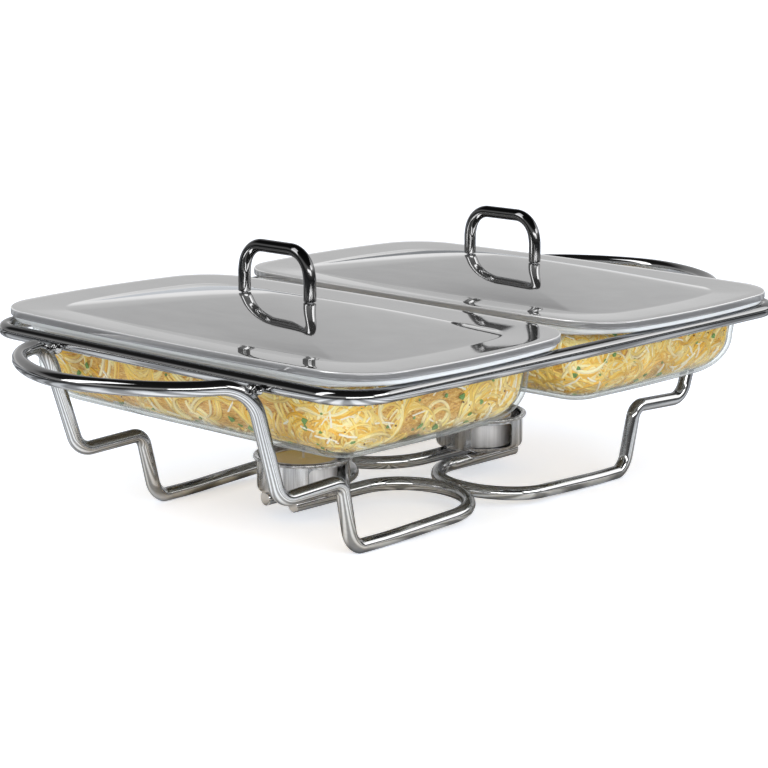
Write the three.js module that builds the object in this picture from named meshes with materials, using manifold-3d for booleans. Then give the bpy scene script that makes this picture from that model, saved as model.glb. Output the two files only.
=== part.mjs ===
// Twin-dish buffet server: a chrome wire stand carries two glass dishes with
// stainless lids above two tealight burners. Millimetres, +Z up, X is the long
// axis with one dish on each side, the table is z = 0 and the object is centred.
import * as THREE from 'three';
import { mergeVertices } from 'three/addons/utils/BufferGeometryUtils.js';
import Module from 'manifold-3d';

const wasm = await Module();
wasm.setup();

const MERGE_DISTANCE = 1e-4;

// Wire stand
const WIRE_RADIUS = 4;
const WIRE_SIDES = 8;
const WELD_GAP = 0.15;
const RING_HALF_X = 181;
const RING_HALF_Y = 142.5;
const RING_CORNER = 24;
const RING_BOW = 0.8;
const RING_Z = 102.4;
const RING_SMOOTHNESS = 4;
const SEAM_OVERLAP = 0.5;

// Carrying loop, one half of it: the apex, and the straight root before the leg's bend
const LOOP_APEX_X = 247.2;
const LOOP_Z = 103.2;
const LOOP_APEX_REACH = 22.5;
const LOOP_ROOT_REACH = 44.9;
const LOOP_ROOT_STRAIGHT = 19.2;
const LOOP_ROOT_ANGLE = -25.4;

// End wire, one quarter of it: leg, step, foot, floor run, U-turn and rod
const LEG_TOP = { x: 189.9, y: 80.7, bend: 22 };
const STEP_OUTER = { x: 169.9, y: 79.4, z: 39.8, bend: 11.6 };
const STEP_INNER = { x: 124.5, y: 78.8, z: 41.7, bend: 8 };
const FOOT = { x: 115.8, y: 77.7, z: 2.6, bend: 12.5 };
const TURN = { x: WIRE_RADIUS + WELD_GAP, y: 80.3, z: 7.5 };
const ROD = { x: 94, y: 11, z: 10.3 };
const TURN_BEND = (TURN.y - ROD.y) / 2 - 0.5;

// Weld beads: centre and the three radii of each bead
const RING_WELD = { x: 185.4, y: 78, z: RING_Z - 2.9, along: 3.2, across: 5.5, height: 3.2 };
const TURN_WELD = { along: 2.6, across: 5, height: 3 };
const HOLDER_WELD = { along: 5, across: 2.6, height: 1.1 };

// Cutting blocks, larger than anything they trim
const TABLE_BLOCK = { side: 600, depth: 40 };
const OTHER_END_BLOCK = { depth: 40, width: 600, height: 400 };

// Burner holders
const BURNER_X = 74.5;
const HOLDER_RADIUS = 26;
const HOLDER_LIP_RADIUS = 28.3;
const HOLDER_SEGMENTS = 28;
const HOLDER_FLOOR_Z = 14.6;
const HOLDER_TOP_Z = 35;
const HOLDER_LIP_DROP = 2.2;
const HOLDER_SHOULDER = 2.6;
const SHEET = 0.8;
const WINDOW = { width: 26, low: 2.3, high: 16.8, corner: 3 };
const WINDOW_FACING = { left: -98, right: -120 };

// Tealight candles
const CANDLE_RADIUS = 19.3;
const CANDLE_FLOOR_Z = HOLDER_FLOOR_Z + SHEET + 0.3;
const CANDLE_HEIGHT = 17.4;
const CANDLE_BEAD = 0.3;
const CANDLE_SEGMENTS = 24;
const FOIL = 0.4;
const WAX_TOP_Z = CANDLE_FLOOR_Z + CANDLE_HEIGHT - 1;
const WAX_MENISCUS = { rise: 0.4, width: 2 };
const WICK_RADIUS = 0.7;
const WICK_HEIGHT = 7.5;
const WICK_BASE_RADIUS = 7;

// Glass dishes
const DISH_X = 93.8;
const DISH_RIM_Z = RING_Z + WIRE_RADIUS + 0.3;
const DISH_RIM_HEIGHT = 6.1;
const DISH_BASE_Z = 61.5;
const DISH_GLASS = 4.5;
const DISH_WALL = { halfX: 79.6, halfY: 127.8, corner: 25, bow: 1.2 };
const DISH_TAPER = 2;
const DISH_CORNER_SHRINK = 0.6;
const DISH_CORNER_LEAST = 4;
const DISH_BASE_CURVE = { width: 27, height: 24.5 };
const DISH_CURVE_STEPS = 4;
const DISH_RIM_ROUND = 1.6;
const DISH_MOUTH_DROP = 1.7;
const DISH_LID_PLAY = 1.6;

// Lids: lip, flat rim, slope down to a shallow crease, then a low dome
const LID_HALF_X = 84.6;
const LID_HALF_Y = 148.3;
const LID_CORNER = 34;
const LID_CORNER_SHRINK = 0.45;
const LID_BOW = 3.1;
const LID_RIM_Z = 113.95;
const LID_LIP = 4.2;
const LID_EDGE_ROUND = 1.5;
const LID_RIM_WIDTH = 6;
const LID_CREASE = { insetX: 24, insetY: 26, z: 113 };
const LID_DOME_RISE = 14;
const LID_DOME_POWER = 1.4;
const LID_DOME_ROUNDING = 34;
const LID_DOME_STEPS = [0.06, 0.25, 0.42, 0.6, 0.8, 1];

// Lid handles and their screws
const HANDLE_WIRE_RADIUS = 3.5;
const HANDLE_FOOT_Y = 25.5;
const HANDLE_TOP_Y = 22.5;
const HANDLE_TOP_Z = 152.7;
const HANDLE_BEND = 14;
const HANDLE_KNEE = 12;
const HANDLE_KNEE_BEND = 20;
const SEAT_GAP = 0.3;
const BORE_GAP = 0.2;
const SCREW_RADIUS = 1.9;
const SCREW_HEAD_RADIUS = 3.6;
const SCREW_HEAD_HEIGHT = 2.4;
const SCREW_REACH = 10;
const WASHER_RADIUS = 5;
const WASHER_THICKNESS = 0.8;

const MATERIALS = {
  chrome: { color: 0xc9cbce, roughness: 0.08, metalness: 1 },
  polishedSteel: { color: 0xb9bbbd, roughness: 0.16, metalness: 1 },
  sheetSteel: { color: 0xa9abad, roughness: 0.3, metalness: 1 },
  zincSteel: { color: 0x9fa3a6, roughness: 0.4, metalness: 1 },
  foil: { color: 0xd2d4d6, roughness: 0.28, metalness: 1 },
  glass: { color: 0xdfe9e6, roughness: 0.05, metalness: 0, transparent: true, opacity: 0.35 },
  wax: { color: 0xe6dca0, roughness: 0.55, metalness: 0 },
  cotton: { color: 0xf2efe4, roughness: 0.9, metalness: 0 },
};

const group = new THREE.Group();

function addPiece(name, geometry, material) {
  const mesh = new THREE.Mesh(geometry, new THREE.MeshStandardMaterial(MATERIALS[material]));
  mesh.name = name;
  group.add(mesh);
}

// ---- solid operations ----

function toSolid(geometry) {
  const bare = geometry.clone();
  bare.deleteAttribute('normal');
  bare.deleteAttribute('uv');
  const merged = mergeVertices(bare, MERGE_DISTANCE);
  return new wasm.Manifold(new wasm.Mesh({
    numProp: 3,
    vertProperties: new Float32Array(merged.attributes.position.array),
    triVerts: new Uint32Array(merged.index.array),
  }));
}

function toGeometry(solid) {
  const mesh = solid.getMesh();
  const geometry = new THREE.BufferGeometry();
  geometry.setAttribute('position', new THREE.BufferAttribute(mesh.vertProperties, 3));
  geometry.setIndex(new THREE.BufferAttribute(mesh.triVerts, 1));
  geometry.computeVertexNormals();
  return geometry;
}

function subtractAll(geometry, tools) {
  const solid = tools.reduce((left, tool) => left.subtract(toSolid(tool)), toSolid(geometry));
  return toGeometry(solid);
}

function addAll(geometry, extras) {
  const solid = extras.reduce((left, extra) => left.add(toSolid(extra)), toSolid(geometry));
  return toGeometry(solid);
}

function mirrorX(geometry) {
  const mirrored = geometry.clone().scale(-1, 1, 1);
  const index = mirrored.index.array;
  for (let i = 0; i < index.length; i += 3) {
    [index[i], index[i + 1]] = [index[i + 1], index[i]];
  }
  mirrored.computeVertexNormals();
  return mirrored;
}

function cylinderZ(radius, bottom, top, x, y, segments = 16) {
  const cylinder = new THREE.CylinderGeometry(radius, radius, top - bottom, segments);
  return cylinder.rotateX(Math.PI / 2).translate(x, y, (bottom + top) / 2);
}

function latheZ(profile, segments, x, y) {
  const points = profile.map(([radius, z]) => new THREE.Vector2(radius, z));
  return new THREE.LatheGeometry(points, segments).rotateX(Math.PI / 2).translate(x, y, 0);
}

// ---- bent wire ----

// Straight runs joined by arcs; each inner corner carries its own bend radius.
function bentPath(corners, degreesPerStep = 18) {
  const path = [corners[0].at];
  for (let i = 1; i < corners.length - 1; i += 1) {
    const { at, bend } = corners[i];
    const back = corners[i - 1].at.clone().sub(at).normalize();
    const ahead = corners[i + 1].at.clone().sub(at).normalize();
    const inside = back.angleTo(ahead);
    const centre = at.clone().addScaledVector(
      back.clone().add(ahead).normalize(), bend / Math.sin(inside / 2));
    const from = at.clone().addScaledVector(back, bend / Math.tan(inside / 2)).sub(centre);
    const to = at.clone().addScaledVector(ahead, bend / Math.tan(inside / 2)).sub(centre);
    const turn = Math.PI - inside;
    const steps = Math.max(2, Math.ceil(THREE.MathUtils.radToDeg(turn) / degreesPerStep));
    const axis = from.clone().cross(to).normalize();
    for (let k = 0; k <= steps; k += 1) {
      path.push(from.clone().applyAxisAngle(axis, (turn * k) / steps).add(centre));
    }
  }
  path.push(corners[corners.length - 1].at);
  return path;
}

// A bent path whose samples are its own corner points, so straight runs cost nothing.
class SampledPath extends THREE.Curve {
  constructor(points) {
    super();
    this.points = points;
  }

  getPointAt(t) {
    return this.points[Math.round(t * (this.points.length - 1))].clone();
  }

  getTangentAt(t) {
    const i = Math.round(t * (this.points.length - 1));
    const before = this.points[Math.max(i - 1, 0)];
    const after = this.points[Math.min(i + 1, this.points.length - 1)];
    return after.clone().sub(before).normalize();
  }
}

function wire(points, radius) {
  const section = new THREE.Shape(Array.from({ length: WIRE_SIDES }, (_, k) => {
    const angle = (2 * Math.PI * k) / WIRE_SIDES;
    return new THREE.Vector2(radius * Math.cos(angle), radius * Math.sin(angle));
  }));
  return new THREE.ExtrudeGeometry(section, {
    extrudePath: new SampledPath(points),
    steps: points.length - 1,
    bevelEnabled: false,
  });
}

function indexed(positions, index) {
  const geometry = new THREE.BufferGeometry();
  geometry.setAttribute('position', new THREE.Float32BufferAttribute(positions, 3));
  geometry.setIndex(index);
  geometry.computeVertexNormals();
  return geometry;
}

function at(x, y, z) {
  return new THREE.Vector3(x, y, z);
}

// ---- rounded outlines and lofts ----

// Rounded rectangle whose sides bulge outwards by bow at their middles.
function outline(halfX, halfY, corner, bow, smoothness = 3) {
  const path = new THREE.Path();
  const x = halfX - corner;
  const y = halfY - corner;
  path.moveTo(halfX, -y);
  path.quadraticCurveTo(halfX + 2 * bow, 0, halfX, y);
  path.absarc(x, y, corner, 0, Math.PI / 2);
  path.quadraticCurveTo(0, halfY + 2 * bow, -x, halfY);
  path.absarc(-x, y, corner, Math.PI / 2, Math.PI);
  path.quadraticCurveTo(-halfX - 2 * bow, 0, -halfX, -y);
  path.absarc(-x, -y, corner, Math.PI, 1.5 * Math.PI);
  path.quadraticCurveTo(0, -halfY - 2 * bow, x, -halfY);
  path.absarc(x, -y, corner, 1.5 * Math.PI, 2 * Math.PI);
  const points = path.getPoints(smoothness);
  const separate = points.filter((point, k) =>
    point.distanceTo(points[(k + 1) % points.length]) > MERGE_DISTANCE);
  return separate.map((point) => [point.x, point.y]);
}

// Skin through outlines, closed by a flat cap below the first and above the last.
function loft(sections, x) {
  const loops = sections.map(({ halfX, halfY, corner, bow, z }) =>
    outline(halfX, halfY, corner, bow).map(([px, py]) => [px + x, py, z]));
  const size = loops[0].length;
  const positions = loops.flat(2);
  const index = [];
  for (let s = 0; s < loops.length - 1; s += 1) {
    for (let k = 0; k < size; k += 1) {
      const m = (k + 1) % size;
      const low = s * size;
      const high = low + size;
      index.push(low + k, low + m, high + m, low + k, high + m, high + k);
    }
  }
  const last = (loops.length - 1) * size;
  const bottomCentre = positions.length / 3;
  positions.push(x, 0, sections[0].z, x, 0, sections[sections.length - 1].z);
  for (let k = 0; k < size; k += 1) {
    const m = (k + 1) % size;
    index.push(bottomCentre, m, k, bottomCentre + 1, last + k, last + m);
  }
  return indexed(positions, index);
}

// ---- the stand ----

// Half of the ring, from the middle of its front side round to the middle of its back.
function halfRingPath() {
  const frontY = -RING_HALF_Y - RING_BOW;
  const corners = outline(RING_HALF_X, RING_HALF_Y, RING_CORNER, RING_BOW, RING_SMOOTHNESS)
    .filter(([x]) => x > 1)
    .sort(([, y], [, otherY]) => y - otherY);
  const ends = [frontY, -frontY].map((y) => at(-SEAM_OVERLAP, y, RING_Z));
  return [ends[0], ...corners.map(([x, y]) => at(x, y, RING_Z)), ends[1]];
}

function ring(radius) {
  const half = wire(halfRingPath(), radius);
  return addAll(half, [half.clone().rotateZ(Math.PI)]);
}

// One quarter of an end wire, from the apex of its carrying loop to the rod's end.
function quarterPath() {
  const rootAngle = THREE.MathUtils.degToRad(LOOP_ROOT_ANGLE);
  const root = at(LEG_TOP.x, LEG_TOP.y, LOOP_Z);
  const outward = at(Math.cos(rootAngle), Math.sin(rootAngle), 0);
  const loop = new THREE.CubicBezierCurve3(
    at(LOOP_APEX_X, 0, LOOP_Z),
    at(LOOP_APEX_X, LOOP_APEX_REACH, LOOP_Z),
    root.clone().addScaledVector(outward, LOOP_ROOT_REACH),
    root.clone().addScaledVector(outward, LOOP_ROOT_STRAIGHT)).getPoints(12);
  const corners = [
    { at: loop.pop() },
    { at: root, bend: LEG_TOP.bend },
    { at: at(STEP_OUTER.x, STEP_OUTER.y, STEP_OUTER.z), bend: STEP_OUTER.bend },
    { at: at(STEP_INNER.x, STEP_INNER.y, STEP_INNER.z), bend: STEP_INNER.bend },
    { at: at(FOOT.x, FOOT.y, FOOT.z), bend: FOOT.bend },
    { at: at(TURN.x, TURN.y, TURN.z), bend: TURN_BEND },
    { at: at(TURN.x, ROD.y, ROD.z), bend: TURN_BEND },
    { at: at(ROD.x, ROD.y, ROD.z) },
  ];
  return [...loop, ...bentPath(corners)];
}

function weldBead(x, y, z, { along, across, height }) {
  return new THREE.IcosahedronGeometry(1, 1).scale(along, across, height).translate(x, y, z);
}

// The right end wire: both quarters in one wire, welds to its neighbours, flat feet.
function endWire() {
  const quarter = quarterPath();
  const otherQuarter = quarter.slice(1).map((p) => at(p.x, -p.y, p.z)).reverse();
  const bare = wire([...otherQuarter, ...quarter], WIRE_RADIUS);
  const turnMiddleY = (TURN.y + ROD.y) / 2;
  const turnMiddleZ = (TURN.z + ROD.z) / 2;
  const rodTopZ = ROD.z + WIRE_RADIUS;
  const beads = [];
  for (const side of [1, -1]) {
    beads.push(weldBead(RING_WELD.x, side * RING_WELD.y, RING_WELD.z, RING_WELD));
    beads.push(weldBead(0, side * turnMiddleY, turnMiddleZ, TURN_WELD));
    beads.push(weldBead(BURNER_X, side * ROD.y, rodTopZ - 1, HOLDER_WELD));
  }
  const table = new THREE.BoxGeometry(TABLE_BLOCK.side, TABLE_BLOCK.side, TABLE_BLOCK.depth)
    .translate(0, 0, -TABLE_BLOCK.depth / 2);
  const { depth, width, height } = OTHER_END_BLOCK;
  const otherEnd = new THREE.BoxGeometry(depth, width, height)
    .translate(WELD_GAP - depth / 2, 0, 0);
  return subtractAll(addAll(bare, beads), [table, otherEnd, ring(WIRE_RADIUS + WELD_GAP)]);
}

function buildStand() {
  addPiece('ring_wire', ring(WIRE_RADIUS), 'chrome');
  const rightEnd = endWire();
  addPiece('right_end_wire', rightEnd, 'chrome');
  addPiece('left_end_wire', mirrorX(rightEnd), 'chrome');
}

// Shallow cup with a rolled lip and an air window cut through its wall.
function burnerHolder(x, facing) {
  const inner = HOLDER_RADIUS - SHEET;
  const top = HOLDER_TOP_Z;
  const floorZ = HOLDER_FLOOR_Z;
  const bend = HOLDER_SHOULDER;
  const cup = latheZ([
    [0, floorZ], [HOLDER_RADIUS - bend, floorZ],
    [HOLDER_RADIUS - 0.3 * bend, floorZ + 0.3 * bend], [HOLDER_RADIUS, floorZ + bend],
    [HOLDER_RADIUS, top - 0.9 * HOLDER_LIP_DROP],
    [HOLDER_LIP_RADIUS - 0.5, top - HOLDER_LIP_DROP],
    [HOLDER_LIP_RADIUS, top - HOLDER_LIP_DROP / 2], [HOLDER_LIP_RADIUS - 0.6, top - 0.1],
    [HOLDER_RADIUS - 0.1, top], [inner, top - 1], [inner, floorZ + bend + 0.3],
    [inner - 0.8 * bend, floorZ + SHEET], [0, floorZ + SHEET],
  ], HOLDER_SEGMENTS, x, 0);
  const halfWidth = WINDOW.width / 2;
  const pane = new THREE.Shape();
  const rise = WINDOW.high - WINDOW.low;
  pane.moveTo(-halfWidth + WINDOW.corner, 0);
  pane.lineTo(halfWidth - WINDOW.corner, 0);
  pane.absarc(halfWidth - WINDOW.corner, WINDOW.corner, WINDOW.corner, -Math.PI / 2, 0);
  pane.absarc(halfWidth - WINDOW.corner, rise - WINDOW.corner, WINDOW.corner, 0, Math.PI / 2);
  pane.absarc(-halfWidth + WINDOW.corner, rise - WINDOW.corner, WINDOW.corner,
    Math.PI / 2, Math.PI);
  pane.absarc(-halfWidth + WINDOW.corner, WINDOW.corner, WINDOW.corner,
    Math.PI, 1.5 * Math.PI);
  const throughOneWall = { depth: HOLDER_LIP_RADIUS, bevelEnabled: false, curveSegments: 3 };
  const punch = new THREE.ExtrudeGeometry(pane, throughOneWall)
    .rotateX(Math.PI / 2)
    .rotateZ(THREE.MathUtils.degToRad(facing + 90))
    .translate(x, 0, HOLDER_FLOOR_Z + WINDOW.low);
  return subtractAll(cup, [punch]);
}

// ---- tealight candle ----

// Foil case, wax, wick and the small disc that holds the wick, from the floor upwards.
function addCandle(side, x) {
  const rim = CANDLE_FLOOR_Z + CANDLE_HEIGHT;
  const waist = CANDLE_RADIUS - CANDLE_BEAD;
  const inner = waist - FOIL;
  const discTop = CANDLE_FLOOR_Z + 3 * FOIL;
  const waxFloor = discTop + BORE_GAP;
  const waxRadius = inner - BORE_GAP;
  const bore = WICK_RADIUS + BORE_GAP;
  addPiece(`${side}_candle_case`, latheZ([
    [0, CANDLE_FLOOR_Z], [waist - 2 * FOIL, CANDLE_FLOOR_Z],
    [waist, CANDLE_FLOOR_Z + 2 * FOIL], [waist, rim - 2 * FOIL],
    [CANDLE_RADIUS, rim - FOIL], [CANDLE_RADIUS - BORE_GAP, rim], [inner, rim - BORE_GAP],
    [inner, CANDLE_FLOOR_Z + 2 * FOIL], [inner - FOIL, CANDLE_FLOOR_Z + FOIL],
    [0, CANDLE_FLOOR_Z + FOIL],
  ], CANDLE_SEGMENTS, x, 0), 'foil');
  addPiece(`${side}_candle_wax`, latheZ([
    [bore, waxFloor], [waxRadius - 2 * FOIL, waxFloor],
    [waxRadius, waxFloor + 2 * FOIL], [waxRadius, WAX_TOP_Z + WAX_MENISCUS.rise],
    [waxRadius - WAX_MENISCUS.width, WAX_TOP_Z], [bore, WAX_TOP_Z],
    [bore, waxFloor],
  ], CANDLE_SEGMENTS, x, 0), 'wax');
  addPiece(`${side}_wick_base`, latheZ([
    [0, discTop - FOIL], [WICK_BASE_RADIUS, discTop - FOIL],
    [WICK_BASE_RADIUS, discTop], [0, discTop],
  ], 16, x, 0), 'zincSteel');
  addPiece(`${side}_candle_wick`, latheZ([
    [0, waxFloor], [WICK_RADIUS, waxFloor],
    [WICK_RADIUS, WAX_TOP_Z + WICK_HEIGHT - FOIL], [0, WAX_TOP_Z + WICK_HEIGHT],
  ], 8, x, 0), 'cotton');
}

// ---- glass dish ----

// The wall's outline: taper is 0 at the rim and 1 at the base, inset goes inwards.
function dishWall(taper, inset, z) {
  const lean = DISH_TAPER * taper + inset;
  return {
    halfX: DISH_WALL.halfX - lean,
    halfY: DISH_WALL.halfY - lean,
    corner: Math.max(DISH_WALL.corner - DISH_CORNER_SHRINK * lean, DISH_CORNER_LEAST),
    bow: DISH_WALL.bow,
    z,
  };
}

function dishRim(inset, z) {
  return {
    halfX: LID_HALF_X - DISH_LID_PLAY - inset,
    halfY: LID_HALF_Y - DISH_LID_PLAY - inset,
    corner: LID_CORNER - DISH_LID_PLAY - inset,
    bow: LID_BOW,
    z,
  };
}

// Quarter ellipse between a flat floor and an upright wall, from the floor upwards.
function baseCurve(thickness) {
  const width = DISH_BASE_CURVE.width - thickness;
  const height = DISH_BASE_CURVE.height - thickness;
  return Array.from({ length: DISH_CURVE_STEPS + 1 }, (_, k) => {
    const angle = (k * Math.PI) / 2 / DISH_CURVE_STEPS;
    return dishWall(1, thickness + width * (1 - Math.sin(angle)),
      DISH_BASE_Z + thickness + height * (1 - Math.cos(angle)));
  });
}

// Outside from the base up, over the rolled rim, then down the inside of the mouth.
function dishGeometry(x) {
  const rimTop = DISH_RIM_Z + DISH_RIM_HEIGHT;
  const neckZ = DISH_RIM_Z - 3 * DISH_RIM_ROUND;
  return loft([
    ...baseCurve(0),
    dishWall(0, 0, neckZ),
    dishWall(0, -DISH_RIM_ROUND, DISH_RIM_Z),
    dishRim(DISH_RIM_ROUND, DISH_RIM_Z),
    dishRim(0, DISH_RIM_Z + DISH_RIM_ROUND),
    dishRim(0, rimTop - DISH_RIM_ROUND),
    dishRim(DISH_RIM_ROUND, rimTop),
    dishRim(2 * DISH_RIM_ROUND, rimTop),
    dishWall(0, 0, rimTop - DISH_MOUTH_DROP),
    dishWall(0, DISH_GLASS, rimTop - 3 * DISH_MOUTH_DROP),
    ...baseCurve(DISH_GLASS).reverse(),
  ], x);
}

// ---- lid ----

// Scaled-down outlines get rounder corners, so that the dome has no ridges.
function lidOutline(insetX, insetY, z, scale = 1) {
  const corner = LID_CORNER - LID_CORNER_SHRINK * insetX;
  return {
    halfX: (LID_HALF_X - insetX) * scale,
    halfY: (LID_HALF_Y - insetY) * scale,
    corner: (corner + LID_DOME_ROUNDING * (1 - scale)) * scale,
    bow: LID_BOW * scale,
    z,
  };
}

function lidEdge(inset, z) {
  return lidOutline(inset, inset, z);
}

// Height of the dome's top face, from 0 at its middle to 1 at the crease.
function domeZ(reach) {
  return LID_CREASE.z + LID_DOME_RISE * (1 - reach ** LID_DOME_POWER);
}

// From the middle outwards: dome, crease, slope up to the flat rim.
function lidSkin(drop) {
  const dome = LID_DOME_STEPS.map((reach) =>
    lidOutline(LID_CREASE.insetX, LID_CREASE.insetY, domeZ(reach) - drop, reach));
  return [...dome, lidEdge(LID_RIM_WIDTH, LID_RIM_Z - drop)];
}

function lidGeometry(x) {
  const lipZ = LID_RIM_Z - LID_LIP;
  const blank = loft([
    ...lidSkin(SHEET),
    lidEdge(LID_EDGE_ROUND, LID_RIM_Z - SHEET),
    lidEdge(SHEET, LID_RIM_Z - LID_EDGE_ROUND),
    lidEdge(SHEET, lipZ),
    lidEdge(0, lipZ),
    lidEdge(0, LID_RIM_Z - LID_EDGE_ROUND),
    lidEdge(0.3 * LID_EDGE_ROUND, LID_RIM_Z - 0.3 * LID_EDGE_ROUND),
    lidEdge(LID_EDGE_ROUND, LID_RIM_Z),
    ...lidSkin(0).reverse(),
  ], x);
  const holes = [HANDLE_FOOT_Y, -HANDLE_FOOT_Y].map((y) =>
    cylinderZ(SCREW_RADIUS + SEAT_GAP, LID_CREASE.z, HANDLE_TOP_Z, x, y));
  return subtractAll(blank, holes);
}

function addLidHandle(side, x) {
  const domeHalfY = LID_HALF_Y - LID_CREASE.insetY;
  const footZ = domeZ((HANDLE_FOOT_Y - HANDLE_WIRE_RADIUS) / domeHalfY) + SEAT_GAP;
  const kneeZ = footZ + HANDLE_KNEE;
  const corners = [
    { at: at(x, -HANDLE_FOOT_Y, footZ) },
    { at: at(x, -HANDLE_FOOT_Y, kneeZ), bend: HANDLE_KNEE_BEND },
    { at: at(x, -HANDLE_TOP_Y, HANDLE_TOP_Z), bend: HANDLE_BEND },
    { at: at(x, HANDLE_TOP_Y, HANDLE_TOP_Z), bend: HANDLE_BEND },
    { at: at(x, HANDLE_FOOT_Y, kneeZ), bend: HANDLE_KNEE_BEND },
    { at: at(x, HANDLE_FOOT_Y, footZ) },
  ];
  const bores = [HANDLE_FOOT_Y, -HANDLE_FOOT_Y].map((y) =>
    cylinderZ(SCREW_RADIUS + BORE_GAP, LID_CREASE.z, footZ + SCREW_REACH + 1, x, y, 12));
  addPiece(`${side}_lid_handle`,
    subtractAll(wire(bentPath(corners), HANDLE_WIRE_RADIUS), bores), 'chrome');

  const washerTop = domeZ((HANDLE_FOOT_Y + WASHER_RADIUS) / domeHalfY) - SHEET - SEAT_GAP;
  const washerHole = SCREW_RADIUS + SEAT_GAP;
  const headTop = washerTop - WASHER_THICKNESS - SEAT_GAP;
  const headBottom = headTop - SCREW_HEAD_HEIGHT;
  for (const [end, y] of [['front', -HANDLE_FOOT_Y], ['back', HANDLE_FOOT_Y]]) {
    addPiece(`${side}_${end}_washer`, latheZ([
      [washerHole, washerTop - WASHER_THICKNESS],
      [WASHER_RADIUS, washerTop - WASHER_THICKNESS], [WASHER_RADIUS, washerTop],
      [washerHole, washerTop],
      [washerHole, washerTop - WASHER_THICKNESS],
    ], 16, x, y), 'zincSteel');
    addPiece(`${side}_${end}_screw`, latheZ([
      [0, headBottom], [SCREW_HEAD_RADIUS - 1, headBottom],
      [SCREW_HEAD_RADIUS, headBottom + 1], [SCREW_HEAD_RADIUS, headTop],
      [SCREW_RADIUS, headTop], [SCREW_RADIUS, footZ + SCREW_REACH], [0, footZ + SCREW_REACH],
    ], 12, x, y), 'zincSteel');
  }
}

// ---- assembly ----

buildStand();
for (const [side, sign] of [['left', -1], ['right', 1]]) {
  addPiece(`${side}_burner_holder`, burnerHolder(sign * BURNER_X, WINDOW_FACING[side]), 'sheetSteel');
  addCandle(side, sign * BURNER_X);
  addPiece(`${side}_dish`, dishGeometry(sign * DISH_X), 'glass');
  addPiece(`${side}_lid`, lidGeometry(sign * DISH_X), 'polishedSteel');
  addLidHandle(side, sign * DISH_X);
}

export default group;
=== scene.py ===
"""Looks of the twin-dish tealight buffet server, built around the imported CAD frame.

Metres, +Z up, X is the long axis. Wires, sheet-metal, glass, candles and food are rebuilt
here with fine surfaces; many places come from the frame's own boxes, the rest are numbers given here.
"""

import math
import random

import bmesh
import bpy
import numpy as np
from mathutils import Matrix, Vector


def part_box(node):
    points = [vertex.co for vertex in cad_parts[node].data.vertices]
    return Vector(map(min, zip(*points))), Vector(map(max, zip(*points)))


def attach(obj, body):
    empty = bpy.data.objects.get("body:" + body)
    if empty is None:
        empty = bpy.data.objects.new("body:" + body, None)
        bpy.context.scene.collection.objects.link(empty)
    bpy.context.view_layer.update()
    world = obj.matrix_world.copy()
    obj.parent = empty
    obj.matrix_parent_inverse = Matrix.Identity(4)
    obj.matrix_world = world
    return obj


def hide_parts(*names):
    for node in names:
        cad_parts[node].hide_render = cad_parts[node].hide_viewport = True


MM = 0.001
SIDES = {"left": -1, "right": 1}

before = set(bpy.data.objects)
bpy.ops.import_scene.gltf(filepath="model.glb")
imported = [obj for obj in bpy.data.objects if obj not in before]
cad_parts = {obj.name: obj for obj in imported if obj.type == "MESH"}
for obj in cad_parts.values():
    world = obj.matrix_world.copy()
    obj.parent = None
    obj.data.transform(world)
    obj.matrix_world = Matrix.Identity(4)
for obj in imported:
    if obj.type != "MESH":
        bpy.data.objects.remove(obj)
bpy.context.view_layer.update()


# ---- driving dimensions

ring_low, ring_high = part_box("ring_wire")
WIRE_RADIUS = (ring_high.z - ring_low.z) / 2
RING_Z = (ring_high.z + ring_low.z) / 2
RING_BOW = 0.8 * MM
RING_CORNER = 24 * MM
RING_HALF_X = ring_high.x - WIRE_RADIUS - RING_BOW
RING_HALF_Y = ring_high.y - WIRE_RADIUS - RING_BOW

end_low, end_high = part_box("right_end_wire")
LOOP_APEX_X = end_high.x - WIRE_RADIUS
LOOP_Z = end_high.z - WIRE_RADIUS
LOOP_APEX_REACH = 22.5 * MM
LOOP_ROOT_REACH = 44.9 * MM
LOOP_ROOT_STRAIGHT = 19.2 * MM
LOOP_ROOT_ANGLE = math.radians(-25.4)
WELD_GAP = 0.15 * MM
LEG_TOP = Vector((189.9, 80.7, LOOP_Z / MM)) * MM
STEP_OUTER = Vector((169.9, 79.4, 39.8)) * MM
STEP_INNER = Vector((124.5, 78.8, 41.7)) * MM
FOOT = Vector((115.8, 77.7, 2.6)) * MM
TURN = Vector((WIRE_RADIUS / MM + WELD_GAP / MM, 80.3, 7.5)) * MM
ROD = Vector((94, 11, 10.3)) * MM
RING_WELD = Vector((185.4, 78, 99.5)) * MM

holder_low, holder_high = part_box("right_burner_holder")
BURNER_X = (holder_low.x + holder_high.x) / 2
HOLDER_LIP_RADIUS = (holder_high.y - holder_low.y) / 2
HOLDER_RADIUS = HOLDER_LIP_RADIUS - 2.3 * MM
SHEET = 0.8 * MM

dish_low, dish_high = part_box("right_dish")
DISH_X = (dish_low.x + dish_high.x) / 2
DISH_GLASS = 4.5 * MM
SEEN_GLASS = 2.2 * MM

lid_low, lid_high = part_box("right_lid")
LID_BOW = 3.1 * MM
LID_HALF_X = (lid_high.x - lid_low.x) / 2 - LID_BOW
LID_HALF_Y = lid_high.y - LID_BOW
LID_CORNER = 34 * MM
LID_TOP_Z = lid_high.z
LID_LIP_Z = lid_low.z
LID_RIM_Z = LID_LIP_Z + 4.2 * MM
LID_RIM_WIDTH = 6 * MM
LID_CREASE_X = 24 * MM
LID_CREASE_Y = 26 * MM
LID_CREASE_Z = 113 * MM
LID_DOME_RISE = 14 * MM
LID_DOME_POWER = 1.4
LID_DOME_ROUNDING = 34 * MM
SCREW_HOLE_RADIUS = 2.2 * MM

HANDLE_KNEE_HEIGHT = 12 * MM
HANDLE_KNEE_BEND = 20 * MM
HANDLE_TOP_BEND = 14 * MM
HANDLE_LEAN = 3 * MM


# ---- mesh building

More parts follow.
